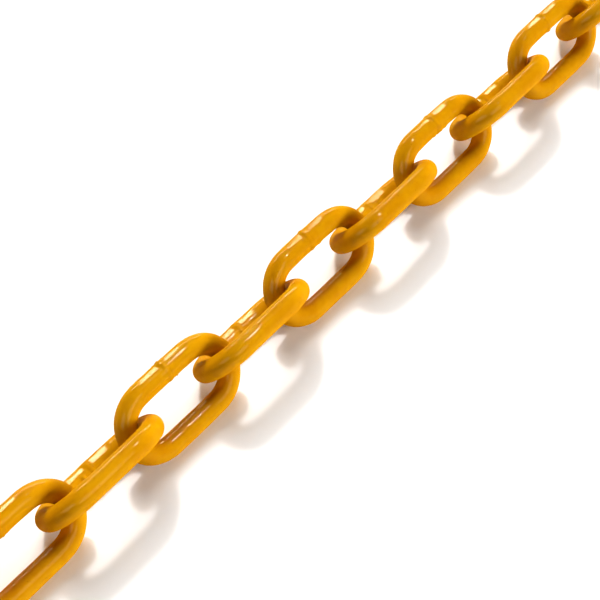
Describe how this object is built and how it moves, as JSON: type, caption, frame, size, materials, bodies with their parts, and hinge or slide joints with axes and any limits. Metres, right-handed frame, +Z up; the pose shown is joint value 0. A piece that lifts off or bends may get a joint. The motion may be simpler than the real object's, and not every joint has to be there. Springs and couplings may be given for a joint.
{
  "type": "welded link chain",
  "caption": "Half-metre straight length of short-link welded steel chain, painted yellow, for fastening, hanging light things or barring a way.",
  "frame": {"origin": "on the floor under the middle of the middle link", "axes": "+X along the straight chain, +Y across it towards the side that the links' welds are on, +Z up"},
  "size_m": [0.5148, 0.0141, 0.0169],
  "materials": {
    "yellow_paint": "gloss enamel over steel, slightly uneven"
  },
  "bodies": {
    "link_01": {"link_01": "yellow_paint"},
    "link_02": {"link_02": "yellow_paint"},
    "link_03": {"link_03": "yellow_paint"},
    "link_04": {"link_04": "yellow_paint"},
    "link_05": {"link_05": "yellow_paint"},
    "link_06": {"link_06": "yellow_paint"},
    "link_07": {"link_07": "yellow_paint"},
    "link_08": {"link_08": "yellow_paint"},
    "link_09": {"link_09": "yellow_paint"},
    "link_10": {"link_10": "yellow_paint"},
    "link_11": {"link_11": "yellow_paint"},
    "link_12": {"link_12": "yellow_paint"},
    "link_13": {"link_13": "yellow_paint"},
    "link_14": {"link_14": "yellow_paint"},
    "link_15": {"link_15": "yellow_paint"},
    "link_16": {"link_16": "yellow_paint"},
    "link_17": {"link_17": "yellow_paint"},
    "link_18": {"link_18": "yellow_paint"},
    "link_19": {"link_19": "yellow_paint"},
    "link_20": {"link_20": "yellow_paint"},
    "link_21": {"link_21": "yellow_paint"}
  },
  "joints": [
    {"name": "bend_01", "type": "hinge", "parent": "link_11", "child": "link_12", "pos_m": [0.012, 0, 0.00835], "axis": [0, 0, 1], "range_deg": [-20, 20]},
    {"name": "bend_02", "type": "hinge", "parent": "link_11", "child": "link_10", "pos_m": [-0.012, 0, 0.00835], "axis": [0, 0, 1], "range_deg": [-20, 20]},
    {"name": "bend_03", "type": "hinge", "parent": "link_12", "child": "link_13", "pos_m": [0.036, 0, 0.00835], "axis": [0, 0, 1], "range_deg": [-20, 20]},
    {"name": "bend_04", "type": "hinge", "parent": "link_10", "child": "link_09", "pos_m": [-0.036, 0, 0.00835], "axis": [0, 0, 1], "range_deg": [-20, 20]},
    {"name": "bend_05", "type": "hinge", "parent": "link_13", "child": "link_14", "pos_m": [0.06, 0, 0.00835], "axis": [0, 0, 1], "range_deg": [-20, 20]},
    {"name": "bend_06", "type": "hinge", "parent": "link_09", "child": "link_08", "pos_m": [-0.06, 0, 0.00835], "axis": [0, 0, 1], "range_deg": [-20, 20]},
    {"name": "bend_07", "type": "hinge", "parent": "link_14", "child": "link_15", "pos_m": [0.084, 0, 0.00835], "axis": [0, 0, 1], "range_deg": [-20, 20]},
    {"name": "bend_08", "type": "hinge", "parent": "link_08", "child": "link_07", "pos_m": [-0.084, 0, 0.00835], "axis": [0, 0, 1], "range_deg": [-20, 20]},
    {"name": "bend_09", "type": "hinge", "parent": "link_15", "child": "link_16", "pos_m": [0.108, 0, 0.00835], "axis": [0, 0, 1], "range_deg": [-20, 20]},
    {"name": "bend_10", "type": "hinge", "parent": "link_07", "child": "link_06", "pos_m": [-0.108, 0, 0.00835], "axis": [0, 0, 1], "range_deg": [-20, 20]},
    {"name": "bend_11", "type": "hinge", "parent": "link_16", "child": "link_17", "pos_m": [0.132, 0, 0.00835], "axis": [0, 0, 1], "range_deg": [-20, 20]},
    {"name": "bend_12", "type": "hinge", "parent": "link_06", "child": "link_05", "pos_m": [-0.132, 0, 0.00835], "axis": [0, 0, 1], "range_deg": [-20, 20]},
    {"name": "bend_13", "type": "hinge", "parent": "link_17", "child": "link_18", "pos_m": [0.156, 0, 0.00835], "axis": [0, 0, 1], "range_deg": [-20, 20]},
    {"name": "bend_14", "type": "hinge", "parent": "link_05", "child": "link_04", "pos_m": [-0.156, 0, 0.00835], "axis": [0, 0, 1], "range_deg": [-20, 20]},
    {"name": "bend_15", "type": "hinge", "parent": "link_18", "child": "link_19", "pos_m": [0.18, 0, 0.00835], "axis": [0, 0, 1], "range_deg": [-20, 20]},
    {"name": "bend_16", "type": "hinge", "parent": "link_04", "child": "link_03", "pos_m": [-0.18, 0, 0.00835], "axis": [0, 0, 1], "range_deg": [-20, 20]},
    {"name": "bend_17", "type": "hinge", "parent": "link_19", "child": "link_20", "pos_m": [0.204, 0, 0.00835], "axis": [0, 0, 1], "range_deg": [-20, 20]},
    {"name": "bend_18", "type": "hinge", "parent": "link_03", "child": "link_02", "pos_m": [-0.204, 0, 0.00835], "axis": [0, 0, 1], "range_deg": [-20, 20]},
    {"name": "bend_19", "type": "hinge", "parent": "link_20", "child": "link_21", "pos_m": [0.228, 0, 0.00835], "axis": [0, 0, 1], "range_deg": [-20, 20]},
    {"name": "bend_20", "type": "hinge", "parent": "link_02", "child": "link_01", "pos_m": [-0.228, 0, 0.00835], "axis": [0, 0, 1], "range_deg": [-20, 20]}
  ]
}
